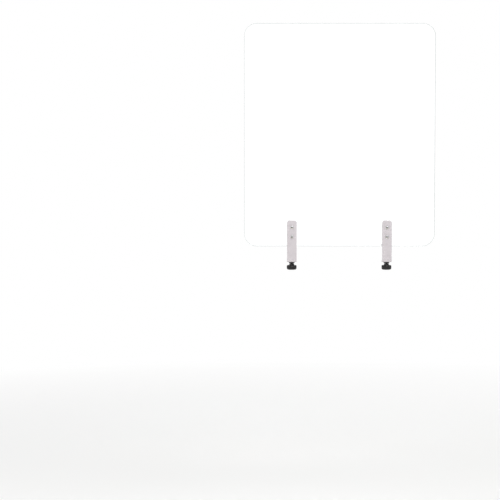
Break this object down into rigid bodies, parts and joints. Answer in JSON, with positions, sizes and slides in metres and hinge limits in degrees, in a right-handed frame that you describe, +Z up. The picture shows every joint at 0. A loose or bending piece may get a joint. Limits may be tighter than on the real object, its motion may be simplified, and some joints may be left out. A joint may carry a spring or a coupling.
{
  "type": "desk privacy panel",
  "caption": "Clear upright desk screen with rounded corners, held on a desk's front edge by two silver C-clamps with black thumb-screw knobs.",
  "frame": {"origin": "on the desk's top surface at its front edge, midway between the two clamps", "axes": "+X to the right along the desk's edge, +Y back over the desk, +Z up the screen"},
  "size_m": [0.6, 0.0566, 0.7757],
  "materials": {
    "clear_acrylic": "clear cast acrylic sheet, polished edges",
    "silver_powder_coat": "light silver-grey powder coat, fine satin texture",
    "zinc_steel": "bright zinc plate",
    "black_plastic": "black moulded plastic, fine matt texture",
    "dark_rubber": "matt rubber",
    "clear_silicone": "milky silicone sheet",
    "white_nylon": "natural white nylon"
  },
  "bodies": {
    "screen": {"clear_panel": "clear_acrylic", "left_clamp_arm": "silver_powder_coat", "left_back_plate": "silver_powder_coat", "left_front_gasket": "clear_silicone", "left_rear_gasket": "clear_silicone", "left_upper_screw": "zinc_steel", "left_lower_screw": "zinc_steel", "left_upper_sleeve": "white_nylon", "left_lower_sleeve": "white_nylon", "left_upper_washer": "zinc_steel", "left_lower_washer": "zinc_steel", "left_upper_cap_nut": "zinc_steel", "left_lower_cap_nut": "zinc_steel", "left_jaw_pad": "dark_rubber", "left_screw_bush": "black_plastic", "right_clamp_arm": "silver_powder_coat", "right_back_plate": "silver_powder_coat", "right_front_gasket": "clear_silicone", "right_rear_gasket": "clear_silicone", "right_upper_screw": "zinc_steel", "right_lower_screw": "zinc_steel", "right_upper_sleeve": "white_nylon", "right_lower_sleeve": "white_nylon", "right_upper_washer": "zinc_steel", "right_lower_washer": "zinc_steel", "right_upper_cap_nut": "zinc_steel", "right_lower_cap_nut": "zinc_steel", "right_jaw_pad": "dark_rubber", "right_screw_bush": "black_plastic"},
    "left_foot": {"left_pressure_foot": "black_plastic", "left_foot_pad": "dark_rubber"},
    "right_foot": {"right_pressure_foot": "black_plastic", "right_foot_pad": "dark_rubber"},
    "left_screw": {"left_spindle": "zinc_steel", "left_retaining_clip": "zinc_steel", "left_knob": "black_plastic"},
    "right_screw": {"right_spindle": "zinc_steel", "right_retaining_clip": "zinc_steel", "right_knob": "black_plastic"}
  },
  "joints": [
    {"name": "left_foot_slide", "type": "slide", "parent": "screen", "child": "left_foot", "axis": [0, 0, 1], "range_m": [-0.0196, 0.0011]},
    {"name": "left_screw_turn", "type": "hinge", "parent": "left_foot", "child": "left_screw", "pos_m": [-0.15, 0.018, 0], "axis": [0, 0, 1], "range_deg": [-5616, 288]},
    {"name": "right_foot_slide", "type": "slide", "parent": "screen", "child": "right_foot", "axis": [0, 0, 1], "range_m": [-0.0196, 0.0011]},
    {"name": "right_screw_turn", "type": "hinge", "parent": "right_foot", "child": "right_screw", "pos_m": [0.15, 0.018, 0], "axis": [0, 0, 1], "range_deg": [-5616, 288]}
  ],
  "couplings": [
    {"joint": "left_foot_slide", "follows": "left_screw_turn", "m_per_rad": 0.00019894},
    {"joint": "right_foot_slide", "follows": "right_screw_turn", "m_per_rad": 0.00019894}
  ]
}
